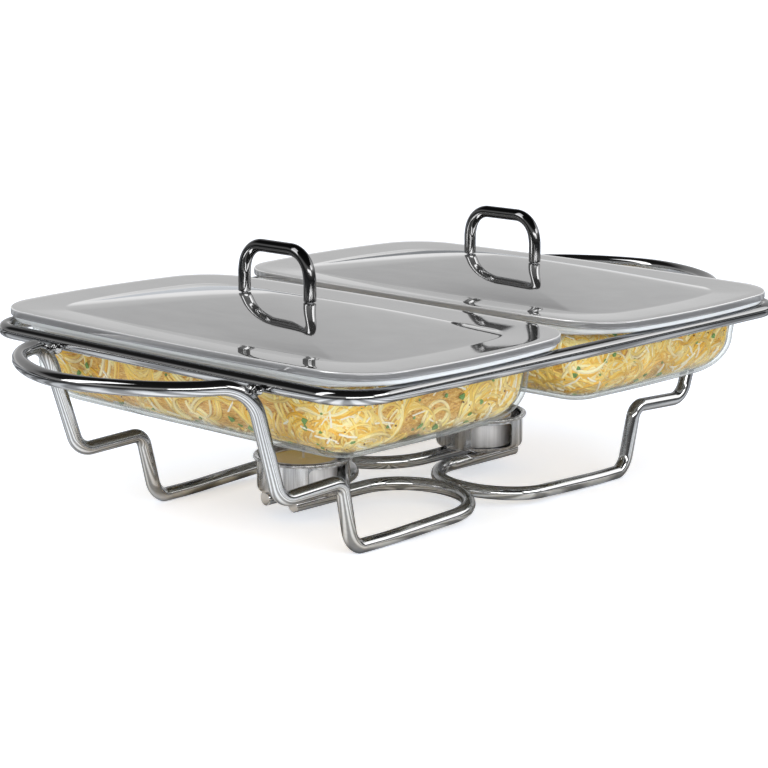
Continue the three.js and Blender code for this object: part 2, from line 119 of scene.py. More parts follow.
def make_object(name, vertices, faces, sharp_angle=40):
    """A smooth-shaded mesh object whose creases above sharp_angle stay crisp."""
    mesh = bpy.data.meshes.new(name)
    mesh.from_pydata([tuple(v) for v in vertices], [], faces)
    mesh.validate()
    finish_normals(mesh, sharp_angle)
    obj = bpy.data.objects.new(name, mesh)
    bpy.context.scene.collection.objects.link(obj)
    return obj


def finish_normals(mesh, sharp_angle=40):
    edit = bmesh.new()
    edit.from_mesh(mesh)
    bmesh.ops.recalc_face_normals(edit, faces=edit.faces)
    edit.to_mesh(mesh)
    edit.free()
    mesh.polygons.foreach_set("use_smooth", [True] * len(mesh.polygons))
    mesh.set_sharp_from_angle(angle=math.radians(sharp_angle))


def merge_parts(parts):
    """One vertex list and one face list from several."""
    vertices, faces = [], []
    for part_vertices, part_faces in parts:
        offset = len(vertices)
        vertices += list(part_vertices)
        faces += [tuple(i + offset for i in face) for face in part_faces]
    return vertices, faces


def arc_path(corners, degrees_per_step=4):
    """Straight runs joined by arcs. corners holds (point, bend radius)."""
    path = [corners[0][0]]
    for (before, _), (point, bend), (after, _) in zip(corners, corners[1:], corners[2:]):
        back = (before - point).normalized()
        ahead = (after - point).normalized()
        inside = back.angle(ahead)
        centre = point + (back + ahead).normalized() * (bend / math.sin(inside / 2))
        start = point + back * (bend / math.tan(inside / 2)) - centre
        end = point + ahead * (bend / math.tan(inside / 2)) - centre
        turn = math.pi - inside
        axis = start.cross(end).normalized()
        steps = max(2, math.ceil(math.degrees(turn) / degrees_per_step))
        for k in range(steps + 1):
            path.append(centre + Matrix.Rotation(turn * k / steps, 3, axis) @ start)
    path.append(corners[-1][0])
    return path


def subdivide_runs(path, longest):
    """Extra points along straight runs, so that long facets don't show."""
    fine = [path[0]]
    for a, b in zip(path, path[1:]):
        parts = max(1, math.ceil((b - a).length / longest))
        fine += [a.lerp(b, k / parts) for k in range(1, parts + 1)]
    return fine


def skin(count, size, closed=False):
    """Faces that join count loops of size points each, with flat caps unless closed."""
    faces = []
    for i in range(count if closed else count - 1):
        here, there = i * size, ((i + 1) % count) * size
        for k in range(size):
            m = (k + 1) % size
            faces.append((here + k, here + m, there + m, there + k))
    if not closed:
        last = (count - 1) * size
        faces.append(tuple(range(size - 1, -1, -1)))
        faces.append(tuple(range(last, last + size)))
    return faces


def tube(path, radius, sides=28, closed=False, chamfer=0.0):
    """Round wire along a path, with frames carried along so that it never twists."""
    count = len(path)
    rings = []
    normal = (path[1] - path[0]).orthogonal().normalized()
    for i, point in enumerate(path):
        before = path[i - 1] if closed or i else path[0]
        after = path[(i + 1) % count] if closed or i < count - 1 else path[-1]
        tangent = (after - before).normalized()
        normal = (normal - tangent * normal.dot(tangent)).normalized()
        rings.append((point, tangent, normal.copy(), radius))
    if not closed and chamfer:
        point, tangent, across, _ = rings[0]
        rings[0] = (point + tangent * chamfer, tangent, across, radius)
        rings.insert(0, (point, tangent, across, radius - chamfer))
        point, tangent, across, _ = rings[-1]
        rings[-1] = (point - tangent * chamfer, tangent, across, radius)
        rings.append((point, tangent, across, radius - chamfer))
    vertices = []
    for point, tangent, across, size in rings:
        side = tangent.cross(across)
        for k in range(sides):
            angle = 2 * math.pi * k / sides
            vertices.append(point + across * (size * math.cos(angle)) + side * (size * math.sin(angle)))
    return vertices, skin(len(rings), sides, closed)


def soften(points, cut, steps=6):
    """Rounds each inner corner of a list of number rows with a curve that starts cut away."""
    rows = [np.array(p, float) for p in points]
    soft = [rows[0]]
    for before, here, after in zip(rows, rows[1:], rows[2:]):
        back, ahead = before - here, after - here
        a = here + back * min(0.5, cut / np.linalg.norm(back))
        b = here + ahead * min(0.5, cut / np.linalg.norm(ahead))
        for k in range(steps + 1):
            t = k / steps
            soft.append((1 - t) ** 2 * a + 2 * t * (1 - t) * here + t ** 2 * b)
    soft.append(rows[-1])
    return [tuple(row) for row in soft]


def lathe(profile, x, y, segments=96, closed=False):
    """Turns a profile of (radius, z) rows about a vertical axis. Radius 0 closes an end.

    A closed profile joins its last row to its first, as a ring with a bore does.
    """
    vertices, faces, loops = [], [], []
    for radius, z in profile:
        if radius < 1e-7:
            loops.append([len(vertices)])
            vertices.append((x, y, z))
            continue
        loops.append(list(range(len(vertices), len(vertices) + segments)))
        for k in range(segments):
            angle = 2 * math.pi * k / segments
            vertices.append((x + radius * math.cos(angle), y + radius * math.sin(angle), z))
    if closed:
        loops.append(loops[0])
    for low, high in zip(loops, loops[1:]):
        for k in range(segments):
            m = (k + 1) % segments
            corners = [low[k % len(low)], low[m % len(low)], high[m % len(high)], high[k % len(high)]]
            face = tuple(dict.fromkeys(corners))
            if len(face) > 2:
                faces.append(face)
    return vertices, faces


def rolled_lip(radius, top, size, first, last, count):
    """Profile of a rolled edge, from the angle first to the angle last in degrees."""
    return [(radius - size + size * math.cos(a), top - size + size * math.sin(a))
            for a in np.linspace(math.radians(first), math.radians(last), count)]


def side_lean(straight, corner, bow):
    """The angle at which a bowed side meets its corner arc, so that they join smoothly."""
    low, high = 0.0, 0.6
    for _ in range(40):
        lean = (low + high) / 2
        rise = corner * (math.cos(lean) - 1) + (straight + corner * math.sin(lean)) * math.tan(lean / 2)
        low, high = (lean, high) if rise < bow else (low, lean)
    return (low + high) / 2


def bowed_side(start, end, lean, steps):
    """Points strictly between start and end on the shallow arc that leaves start at lean."""
    chord = end - start
    outward = Vector((chord.y, -chord.x)).normalized()
    half = chord.length / 2
    if lean < 1e-5:
        return [start.lerp(end, k / steps) for k in range(1, steps)]
    radius = half / math.sin(lean)
    points = []
    for k in range(1, steps):
        angle = lean * (2 * k / steps - 1)
        along = half + radius * math.sin(angle)
        rise = radius * (math.cos(angle) - math.cos(lean))
        points.append(start + chord.normalized() * along + outward * rise)
    return points


def outline(half_x, half_y, corner, bow, corner_steps=20, side_steps=16):
    """Rounded rectangle, counter-clockwise, with sides that bulge outwards by bow."""
    lean_x = side_lean(half_y - corner, corner, bow)
    lean_y = side_lean(half_x - corner, corner, bow)
    corners = []
    for quarter in range(4):
        first, last = (lean_x, lean_y) if quarter % 2 == 0 else (lean_y, lean_x)
        centre = Vector((half_x - corner, half_y - corner))
        if quarter in (1, 2):
            centre.x = -centre.x
        if quarter in (2, 3):
            centre.y = -centre.y
        base = quarter * math.pi / 2
        sweep = math.pi / 2 - first - last
        corners.append([
            centre + Vector((math.cos(a), math.sin(a))) * corner
            for a in (base + first + sweep * k / corner_steps for k in range(corner_steps + 1))
        ])
    points = []
    for quarter in range(4):
        following = corners[(quarter + 1) % 4]
        lean = lean_y if quarter % 2 == 0 else lean_x
        points += corners[quarter]
        points += bowed_side(corners[quarter][-1], following[0], lean, side_steps)
    return points


def loft(sections, x):
    """Skin through outlines, each (half_x, half_y, corner, bow, z), with flat end caps."""
    vertices = []
    for half_x, half_y, corner, bow, z in sections:
        vertices += [(x + p.x, p.y, z) for p in outline(half_x, half_y, max(corner, MM), bow)]
    return vertices, skin(len(sections), len(vertices) // len(sections))


def cut_away(obj, cutter, sharp_angle=30):
    """Cuts one object's shape out of another and deletes the cutter."""
    modifier = obj.modifiers.new("cut", "BOOLEAN")
    modifier.operation = "DIFFERENCE"
    modifier.solver = "EXACT"
    modifier.object = cutter
    evaluated = obj.evaluated_get(bpy.context.evaluated_depsgraph_get())
    mesh = bpy.data.meshes.new_from_object(evaluated)
    obj.modifiers.clear()
    old = obj.data
    obj.data = mesh
    bpy.data.meshes.remove(old)
    bpy.data.objects.remove(cutter)
    finish_normals(obj.data, sharp_angle)
    return obj


def place(obj, body, material, slot_name, *nodes):
    """Gives a piece its material, its body and the CAD nodes that it stands for."""
    obj.data.materials.append(material)
    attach(obj, body)
    if nodes:
        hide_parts(*nodes)


def add_piece(node, mesh, body, material, slot_name, sharp_angle=40):
    """The fine version of one CAD node, on the node's body."""
    place(make_object(f"{node}_fine", *mesh, sharp_angle), body, material, slot_name, node)


def add_food(side, name, mesh, material):
    """Food pieces show through the glass but leave the mirror-bright wire neutral."""
    piece = make_object(f"{side}_food_{name}", *mesh)
    place(piece, f"{side}_dish", material, "wax")
    piece.visible_glossy = False
    return piece


# ---- viewing direction

def direction_at(azimuth, elevation):
    """Unit direction. Azimuth 0 is +Y and 90 is +X; elevation is above the horizon."""
    a, e = math.radians(azimuth), math.radians(elevation)
    return Vector((math.sin(a) * math.cos(e), math.cos(a) * math.cos(e), math.sin(e)))


VIEW_AZIMUTH = 46.57
VIEW_ELEVATION = 11.98
VIEW_HEADING = direction_at(VIEW_AZIMUTH, 0)


# ---- materials

FLOOR_LIFT = 0.52
# How closely the floor's painted reflection streaks repeat around the object.
PAINTED_REFLECTION_STREAKS = 23.0
FLOOR_LIFT_COLOUR = (0.985, 0.995, 1.01, 1)
# Painted glow: the food gives off a little light in its own colour, in place of more fill light.
FOOD_GLOW = 0.13
GLASS_RIM_Z = dish_high.z - 8.6 * MM
# Painted shade on the chrome: its painted dark tops grow from this height over this span.
PAINTED_SHADE_FROM_Z = 45 * MM
PAINTED_SHADE_SPAN = 35 * MM


class Nodes:
    """A short way to build a node tree: nodes are made and linked in one call."""

    def __init__(self, tree):
        self.tree = tree
        self.tree.nodes.clear()

    def add(self, kind, **inputs):
        node = self.tree.nodes.new("ShaderNode" + kind)
        for key, value in inputs.pop("settings", {}).items():
            setattr(node, key, value)
        for key, value in inputs.items():
            self.plug(node.inputs[key.replace("_", " ")], value)
        return node

    def plug(self, socket, value):
        if isinstance(value, bpy.types.NodeSocket):
            self.tree.links.new(value, socket)
        else:
            socket.default_value = value

    def math(self, operation, a, b=0.0, clamp=False):
        node = self.tree.nodes.new("ShaderNodeMath")
        node.operation = operation
        node.use_clamp = clamp
        self.plug(node.inputs[0], a)
        self.plug(node.inputs[1], b)
        return node.outputs[0]

    def ramp(self, factor, stops):
        node = self.tree.nodes.new("ShaderNodeValToRGB")
        elements = node.color_ramp.elements
        while len(elements) < len(stops):
            elements.new(0.5)
        for element, (position, colour) in zip(elements, stops):
            element.position = position
            element.color = grey(colour) if isinstance(colour, (int, float)) else (*colour, 1)
        self.plug(node.inputs[0], factor)
        return node.outputs[0]

    def noise(self, scale, detail=3.0, roughness=0.5, distortion=0.0, vector=None):
        node = self.add("TexNoise", Scale=scale, Detail=detail,
                        Roughness=roughness, Distortion=distortion)
        if vector is not None:
            self.plug(node.inputs["Vector"], vector)
        return node.outputs["Fac"]

    def mix(self, factor, a, b):
        node = self.tree.nodes.new("ShaderNodeMix")
        node.data_type = "RGBA"
        self.plug(node.inputs["Factor"], factor)
        self.plug(node.inputs["A"], a)
        self.plug(node.inputs["B"], b)
        return node.outputs["Result"]

    def bump(self, height, strength, distance):
        return self.add("Bump", Height=height, Strength=strength,
                        Distance=distance).outputs["Normal"]

    def mix_shaders(self, factor, a, b):
        node = self.add("MixShader", Fac=factor)
        self.plug(node.inputs[1], a.outputs[0])
        self.plug(node.inputs[2], b.outputs[0])
        return node

    def vector(self, operation, a, b=(0, 0, 0), output="Vector"):
        node = self.add("VectorMath", settings={"operation": operation})
        self.plug(node.inputs[0], a)
        self.plug(node.inputs[1], tuple(b) if isinstance(b, Vector) else b)
        return node.outputs[output]

    def dot(self, a, b):
        return self.vector("DOT_PRODUCT", a, b, "Value")

    def surface(self, shader):
        self.add("OutputMaterial", Surface=shader.outputs[0])

    def position(self):
        return self.add("TexCoord").outputs["Object"]

    def height(self):
        return self.add("SeparateXYZ", Vector=self.position()).outputs["Z"]

    def upward(self):
        """The surface normal's upward share: 1 on level tops, 0 on upright walls."""
        normal = self.add("NewGeometry").outputs["Normal"]
        return self.add("SeparateXYZ", Vector=normal).outputs["Z"]

    def stretched(self, x, y, z):
        mapping = self.add("Mapping", Vector=self.position(), Scale=(x, y, z))
        return mapping.outputs["Vector"]


def grey(value):
    return (value, value, value, 1)


def new_material(name):
    material = bpy.data.materials.new(name)
    material.use_nodes = True
    return material, Nodes(material.node_tree)


def principled(name, build, metallic=0.0, glow=0.0, **inputs):
    """A Principled material whose colour, roughness and normal come from build(nodes)."""
    material, nodes = new_material(name)
    made = build(nodes)
    shader = nodes.add("BsdfPrincipled", Base_Color=made["colour"], Roughness=made["roughness"],
                       Normal=made["normal"], Metallic=metallic, **inputs)
    if glow:
        nodes.plug(shader.inputs["Emission Color"], made["colour"])
        nodes.plug(shader.inputs["Emission Strength"], glow)
    nodes.surface(shader)
    return material


def chrome_material(name, brightness):
    """Polished wire with painted dark reflection: its edges and its tops are painted near black, the tops
    most on the upper wires, in place of a dark studio's reflection.
    """
    def build(nodes):
        smudge = nodes.noise(60, 4, 0.6)
        bright = nodes.ramp(smudge, [(0.3, 0.9 * brightness), (0.7, brightness)])
        # Painted dark reflection: slanted edges and upward tops are mixed towards near black, the tops more
        # on the upper wires.
        turned = nodes.add("LayerWeight", Blend=0.5).outputs["Facing"]
        edge = nodes.ramp(turned, [(0.3, 0), (0.6, 0.55), (1.0, 0.8)])
        top = nodes.ramp(nodes.upward(), [(0.1, 0), (0.5, 0.65), (1.0, 0.72)])
        above = nodes.math("SUBTRACT", nodes.height(), PAINTED_SHADE_FROM_Z)
        high = nodes.math("DIVIDE", above, PAINTED_SHADE_SPAN, clamp=True)
        high = nodes.math("ADD", 0.35, nodes.math("MULTIPLY", high, 0.65))
        dark = nodes.math("MAXIMUM", edge, nodes.math("MULTIPLY", top, high))
        return {
            "colour": nodes.mix(dark, bright, (0.05, 0.05, 0.055, 1)),
            "roughness": nodes.ramp(smudge, [(0.35, 0.03), (0.75, 0.07)]),
            "normal": nodes.bump(nodes.noise(240, 2), 0.02, 0.0004),
        }
    return principled(name, build, 1.0)


def lid_material():
    """Mirror-polished steel mixed with a pale diffuse layer that is painted light: it lifts the lip and
    paints a highlight band on its rounded edge.
    """
    material, nodes = new_material("polished_stainless")
    grain = nodes.noise(900, 2, vector=nodes.stretched(1, 0.03, 1))
    cloud = nodes.noise(9)
    colour = nodes.ramp(cloud, [(0.3, (0.8, 0.8, 0.805)), (0.7, (0.85, 0.85, 0.855))])
    roughness = nodes.math("ADD", nodes.math("MULTIPLY", grain, 0.03),
                           nodes.math("MULTIPLY", cloud, 0.05))
    bump = nodes.bump(grain, 0.02, 0.0002)
    mirror = nodes.add("BsdfPrincipled", Base_Color=colour, Roughness=roughness,
                       Metallic=1.0, Normal=bump)
    upward = nodes.upward()
    # Painted highlight: the diffuse layer is palest on the rounded edge and makes up most of the upright
    # lip; on the flat top it almost vanishes.
    edge = nodes.ramp(upward, [(0.0, 0.24), (0.35, 0.4), (0.8, 0.8), (1.0, 0.6)])
    share = nodes.ramp(upward, [(0.0, 0.65), (0.8, 0.7), (0.93, 0.4), (0.96, 0.03)])
    painted_lift = nodes.add("BsdfDiffuse", Color=edge, Roughness=0.3)
    nodes.surface(nodes.mix_shaders(share, mirror, painted_lift))
    return material


def speckled(name, noise, colours, roughness, bump, metallic=0.0, stretch=None, **inputs):
    """A material whose colour, roughness and bump all follow one noise pattern."""
    def build(nodes):
        vector = nodes.stretched(*stretch) if stretch else None
        pattern = nodes.noise(*noise, vector=vector)
        return {
            "colour": nodes.ramp(pattern, colours),
            "roughness": nodes.ramp(pattern, [(0.3, roughness[0]), (0.7, roughness[1])]),
            "normal": nodes.bump(pattern, *bump),
        }
    return principled(name, build, metallic, **inputs)


def garnish_material(name, dark, light, roughness=0.5):
    return speckled(name, (260, 4, 0.6), [(0.3, dark), (0.7, light)], (roughness, roughness),
                    (0.4, 0.0006), glow=FOOD_GLOW)


def wick_material(top_z):
    """Braided cotton that turns black towards its tip."""
    def build(nodes):
        braid = nodes.add("TexWave", Scale=900, Distortion=2,
                          settings={"bands_direction": "DIAGONAL"}).outputs["Fac"]
        char = nodes.math("SUBTRACT", nodes.height(), top_z - 5 * MM)
        char = nodes.math("DIVIDE", char, 3 * MM, clamp=True)
        cotton = nodes.ramp(braid, [(0.2, (0.5, 0.47, 0.4)), (0.8, (0.86, 0.84, 0.76))])
        return {"colour": nodes.mix(char, cotton, (0.02, 0.018, 0.016, 1)),
                "roughness": 0.9, "normal": nodes.bump(braid, 0.5, 0.0003)}
    return principled("braided_wick", build)


def glass_material():
    """Clear pressed glass: the walls stay clear, while the thick rim and the foot edge are painted pale and
    opaque, a painted reflection of the light that thick glass catches.
    """
    material, nodes = new_material("clear_glass")
    ripple = nodes.bump(nodes.noise(26, 2), 0.05, 0.002)
    facing = nodes.add("LayerWeight", Blend=0.35, Normal=ripple)
    edge = nodes.ramp(facing.outputs["Facing"],
                      [(0.0, (0.995, 0.99, 0.98)), (0.6, (0.9, 0.91, 0.89)), (1.0, (0.45, 0.48, 0.46))])
    clear = nodes.add("BsdfTransparent", Color=edge)
    shine = nodes.add("BsdfGlossy", Color=grey(0.95), Roughness=0.03, Normal=ripple)
    turned = nodes.add("LayerWeight", Blend=0.5, Normal=ripple).outputs["Facing"]
    grazing = nodes.math("POWER", turned, 5.0)
    strength = nodes.math("ADD", 0.022, nodes.math("MULTIPLY", grazing, 0.8))
    body = nodes.mix_shaders(strength, clear, shine)

    # Painted reflection: the thick rim is painted pale and opaque, and outer faces seen at a slant below it
    # a darker grey-green.
    rim = nodes.math("DIVIDE", nodes.math("SUBTRACT", nodes.height(), GLASS_RIM_Z), MM, clamp=True)
    slant = nodes.ramp(turned, [(0.66, 0), (0.86, 0.6), (0.96, 0.5), (1.0, 0.1)])
    inner = nodes.add("NewGeometry").outputs["Backfacing"]
    slant = nodes.math("MULTIPLY", slant, nodes.math("SUBTRACT", 1.0, inner))
    painted_light_mask = nodes.math("MAXIMUM", nodes.math("MULTIPLY", rim, 0.95), slant)
    pale = nodes.mix(rim, (0.52, 0.55, 0.53, 1), (0.84, 0.86, 0.85, 1))
    painted_pale_glass = nodes.add("BsdfPrincipled", Base_Color=pale, Roughness=0.12)
    nodes.surface(nodes.mix_shaders(painted_light_mask, body, painted_pale_glass))
    return material


def strand_material():
    """Cooked spaghetti: every strand has its own tone at random, with an oily sheen, painted shade towards
    its edges and a faint painted glow.
    """
    def build(nodes):
        own = nodes.add("Attribute", settings={"attribute_name": "shade"}).outputs["Fac"]
        fleck = nodes.noise(330, 3, 0.6)
        shade = nodes.math("ADD", nodes.math("MULTIPLY", own, 0.8), nodes.math("MULTIPLY", fleck, 0.3))
        tone = nodes.ramp(shade, [(0.1, (0.86, 0.47, 0.05)), (0.35, (0.98, 0.68, 0.14)),
                                  (0.65, (1.0, 0.83, 0.32)), (1.0, (1.0, 0.95, 0.66))])
        # Painted shade: each strand darkens to deep orange where its surface turns away, outlining it.
        turned = nodes.add("LayerWeight", Blend=0.5).outputs["Facing"]
        rounded = nodes.math("MULTIPLY", nodes.math("POWER", turned, 1.4), 0.95)
        return {
            "colour": nodes.mix(rounded, tone, (0.36, 0.15, 0.01, 1)),
            "roughness": 0.32,
            "normal": nodes.bump(fleck, 0.1, 0.0005),
        }
    return principled("cooked_pasta", build, glow=FOOD_GLOW,
                      Subsurface_Weight=0.2, Subsurface_Radius=(0.003, 0.002, 0.001))


def floor_material():
    """White paper. Seen directly it is lifted to white; in reflections it shows a painted reflection: it
    darkens with distance, turns grey beyond the object and carries light streaks.
    """
    material, nodes = new_material("studio_floor")
    paper = nodes.noise(18, 3)
    colour = nodes.ramp(paper, [(0.3, (0.77, 0.82, 0.92)), (0.7, (0.81, 0.86, 0.96))])
    # Painted reflection, seen only in reflections: darker with distance, grey beyond the object, with light
    # and dark radial streaks.
    radius = nodes.vector("LENGTH", nodes.position(), output="Value")
    painted_far_shade = nodes.ramp(nodes.math("DIVIDE", radius, 1.2),
                     [(0.2, 0.8), (0.42, 0.3), (0.55, 0.05)])
    spot = nodes.add("SeparateXYZ", Vector=nodes.position())
    angle = nodes.math("ARCTAN2", spot.outputs["Y"], spot.outputs["X"])
    painted_streak = nodes.math("SINE", nodes.math("MULTIPLY", angle, PAINTED_REFLECTION_STREAKS))
    painted_streak = nodes.ramp(nodes.math("ADD", nodes.math("MULTIPLY", painted_streak, 0.5), 0.5),
                        [(0.2, (0.48, 0.5, 0.525)), (0.5, (0.815, 0.85, 0.9)), (0.8, (1.2, 1.25, 1.32))])
    beyond = nodes.math("SUBTRACT", nodes.dot(nodes.position(), VIEW_HEADING), 0.2)
    beyond = nodes.math("DIVIDE", beyond, 0.2, clamp=True)
    painted_far_shade = nodes.mix(beyond, painted_far_shade, grey(0.6))
    painted_floor_reflection = nodes.vector("MULTIPLY", painted_far_shade, painted_streak)
    path = nodes.add("LightPath")
    shown = nodes.mix(path.outputs["Is Glossy Ray"], colour, painted_floor_reflection)
    diffuse = nodes.add("BsdfDiffuse", Color=shown)
    glow = nodes.add("Emission", Color=FLOOR_LIFT_COLOUR,
                     Strength=nodes.math("MULTIPLY", path.outputs["Is Camera Ray"], FLOOR_LIFT))
    both = nodes.add("AddShader")
    nodes.plug(both.inputs[0], diffuse.outputs[0])
    nodes.plug(both.inputs[1], glow.outputs[0])
    nodes.surface(both)
    return material


# The lid handles get a darker copy of the same polished chrome: painted dark reflection.
CHROME = chrome_material("bright_chrome", 0.85)
HANDLE_CHROME_PAINTED_DARK = chrome_material("chrome_painted_dark", 0.3)
LID_STEEL = lid_material()
HOLDER_STEEL = speckled(
    "spun_stainless", (330, 3, 0.65),
    [(0.35, (0.4, 0.4, 0.41)), (0.5, (0.66, 0.66, 0.67)), (0.65, (0.9, 0.9, 0.91))],
    (0.16, 0.24), (0.12, 0.0004), 1.0, stretch=(1, 1, 0.02))
ZINC = speckled(
    "zinc_plate", (420, 3, 0.6), [(0.3, (0.5, 0.51, 0.53)), (0.7, (0.68, 0.69, 0.7))],
    (0.28, 0.45), (0.06, 0.0002), 1.0)
FOIL = speckled(
    "drawn_aluminium", (240, 3, 0.6), [(0.35, (0.6, 0.6, 0.61)), (0.65, (0.93, 0.93, 0.94))],
    (0.38, 0.5), (0.12, 0.0006), 0.55, stretch=(1, 1, 0.05))
WAX = speckled(
    "candle_wax", (90, 4, 0.6), [(0.3, (0.74, 0.66, 0.28)), (0.7, (0.86, 0.8, 0.44))],
    (0.3, 0.5), (0.15, 0.0006), Subsurface_Weight=0.35, Subsurface_Radius=(0.004, 0.003, 0.0015))
GLASS = glass_material()
PASTA = strand_material()
# Its deep browns are partly the sauce's colour and partly painted shade in the gaps between strands.
SAUCE_AND_GAP_SHADE = speckled(
    "sauce_and_painted_gap_shade", (70, 5, 0.65, 0.6),
    [(0.3, (0.28, 0.1, 0.015)), (0.42, (0.6, 0.27, 0.04)),
     (0.55, (0.82, 0.5, 0.12)), (0.68, (0.92, 0.74, 0.36))],
    (0.4, 0.4), (0.6, 0.002), glow=FOOD_GLOW)
CHEESE = garnish_material("grated_cheese", (0.9, 0.83, 0.62), (0.98, 0.95, 0.86), 0.4)
HERB = garnish_material("chopped_herb", (0.07, 0.2, 0.04), (0.26, 0.45, 0.13))
CHEDDAR = garnish_material("melted_cheddar", (0.78, 0.32, 0.03), (0.93, 0.55, 0.12), 0.35)
PEPPER = garnish_material("ground_pepper", (0.06, 0.025, 0.01), (0.3, 0.13, 0.05))


# ---- the stand

def ring_mesh():
    loop = outline(RING_HALF_X, RING_HALF_Y, RING_CORNER, RING_BOW, 24, 60)
    path = [Vector((p.x, p.y, RING_Z)) for p in loop]
    return tube(path, WIRE_RADIUS, 36, closed=True)


def quarter_path():
    """One quarter of an end wire, from the apex of its carrying loop to the rod's end."""
    outward = Vector((math.cos(LOOP_ROOT_ANGLE), math.sin(LOOP_ROOT_ANGLE), 0))
    p0 = Vector((LOOP_APEX_X, 0, LOOP_Z))
    p1 = Vector((LOOP_APEX_X, LOOP_APEX_REACH, LOOP_Z))
    p2 = LEG_TOP + outward * LOOP_ROOT_REACH
    p3 = LEG_TOP + outward * LOOP_ROOT_STRAIGHT
    steps = 40
    loop = []
    for k in range(steps):
        t = k / steps
        loop.append(p0 * (1 - t) ** 3 + p1 * 3 * t * (1 - t) ** 2 + p2 * 3 * t * t * (1 - t) + p3 * t ** 3)
    turn_bend = (TURN.y - ROD.y) / 2 - 0.5 * MM
    corners = [
        (p3, 0),
        (LEG_TOP, 22 * MM),
        (STEP_OUTER, 11.6 * MM),
        (STEP_INNER, 8 * MM),
        (FOOT, 12.5 * MM),
        (TURN, turn_bend),
        (Vector((TURN.x, ROD.y, ROD.z)), turn_bend),
        (ROD, 0),
    ]
    return loop + subdivide_runs(arc_path(corners), 12 * MM)


def unit_ball(subdivisions):
    """Points and faces of a ball of radius 1."""
    ball = bmesh.new()
    bmesh.ops.create_icosphere(ball, subdivisions=subdivisions, radius=1)
    points = [v.co.copy() for v in ball.verts]
    faces = [tuple(v.index for v in f.verts) for f in ball.faces]
    ball.free()
    return points, faces


def weld_bead(centre, size, seed):
    """A small lumpy bead of weld metal."""
    points, faces = unit_ball(4)
    rng = random.Random(seed)
    phase = [rng.uniform(0, 6) for _ in range(3)]
    vertices = []
    for point in points:
        d = point.normalized()
        swell = 1 + 0.07 * math.sin(7 * d.x + phase[0]) * math.cos(6 * d.y + phase[1])
        swell += 0.04 * math.sin(13 * d.y + phase[2])
        vertices.append(centre + Vector((d.x * size[0], d.y * size[1], d.z * size[2])) * swell)
    return vertices, faces


def end_wire_mesh(sign):
    quarter = quarter_path()
    other = [Vector((p.x, -p.y, p.z)) for p in quarter[1:]]
    path = [Vector((p.x * sign, p.y, p.z)) for p in other[::-1] + quarter]
    for p in path:
        p.z = max(p.z, WIRE_RADIUS - 0.25 * MM)
    parts = [tube(path, WIRE_RADIUS, 32, chamfer=0.5 * MM)]
    turn_y = (TURN.y + ROD.y) / 2
    turn_z = (TURN.z + ROD.z) / 2
    for index, y_sign in enumerate((1, -1)):
        seed = 10 * sign + index
        parts.append(weld_bead(Vector((sign * RING_WELD.x, y_sign * RING_WELD.y, RING_WELD.z)),
                               (3 * MM, 5.2 * MM, 3 * MM), seed))
        parts.append(weld_bead(Vector((sign * 0.9 * MM, y_sign * turn_y, turn_z + 0.6 * MM)),
                               (2.3 * MM, 4.8 * MM, 2.9 * MM), seed + 3))
        parts.append(weld_bead(Vector((sign * BURNER_X, y_sign * ROD.y, ROD.z + WIRE_RADIUS - 0.9 * MM)),
                               (6 * MM, 2.8 * MM, 1.1 * MM), seed + 6))
    return merge_parts(parts)


def holder_piece(side, sign):
    """Spun cup with a rolled lip and an air window."""
    low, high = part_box(f"{side}_burner_holder")
    floor, top = low.z, high.z
    inner = HOLDER_RADIUS - SHEET
    curl = rolled_lip(HOLDER_LIP_RADIUS, top, 1.15 * MM, -150, 100, 14)
    outer = soften([(0, floor), (HOLDER_RADIUS, floor), (HOLDER_RADIUS, top - 1.7 * MM)], 3 * MM, 8)
    inside = soften([(inner, top - 0.8 * MM), (inner, floor + SHEET), (0, floor + SHEET)], 2.5 * MM, 8)
    profile = outer + curl + inside
    cup = make_object(f"{side}_burner_holder_fine", *lathe(profile, sign * BURNER_X, 0, 128))
    facing = {"left": -98, "right": -120}[side]
    return cut_away(cup, window_cutter(sign * BURNER_X, floor + 2.3 * MM, facing))


def window_cutter(x, z, facing):
    """A rounded bar that points outwards from the cup's axis."""
    width, height, corner = 26 * MM, 14.5 * MM, 3 * MM
    loop = outline(width / 2, height / 2, corner, 0, 8, 4)
    angle = math.radians(facing)
    ahead = Vector((math.cos(angle), math.sin(angle), 0))
    across = Vector((-math.sin(angle), math.cos(angle), 0))
    vertices = []
    for reach in (12 * MM, 45 * MM):
        for p in loop:
            point = Vector((x, 0, z + height / 2)) + ahead * reach + across * p.x
            vertices.append(point + Vector((0, 0, p.y)))
    return make_object("window_cutter", vertices, skin(2, len(loop)))


def build_stand():
    add_piece("ring_wire", ring_mesh(), "stand", CHROME, "chrome_wire")
    for side, sign in SIDES.items():
        add_piece(f"{side}_end_wire", end_wire_mesh(sign), "stand", CHROME, "chrome_wire")
        place(holder_piece(side, sign), "stand", HOLDER_STEEL, "holder_steel",
              f"{side}_burner_holder")


# ---- candles

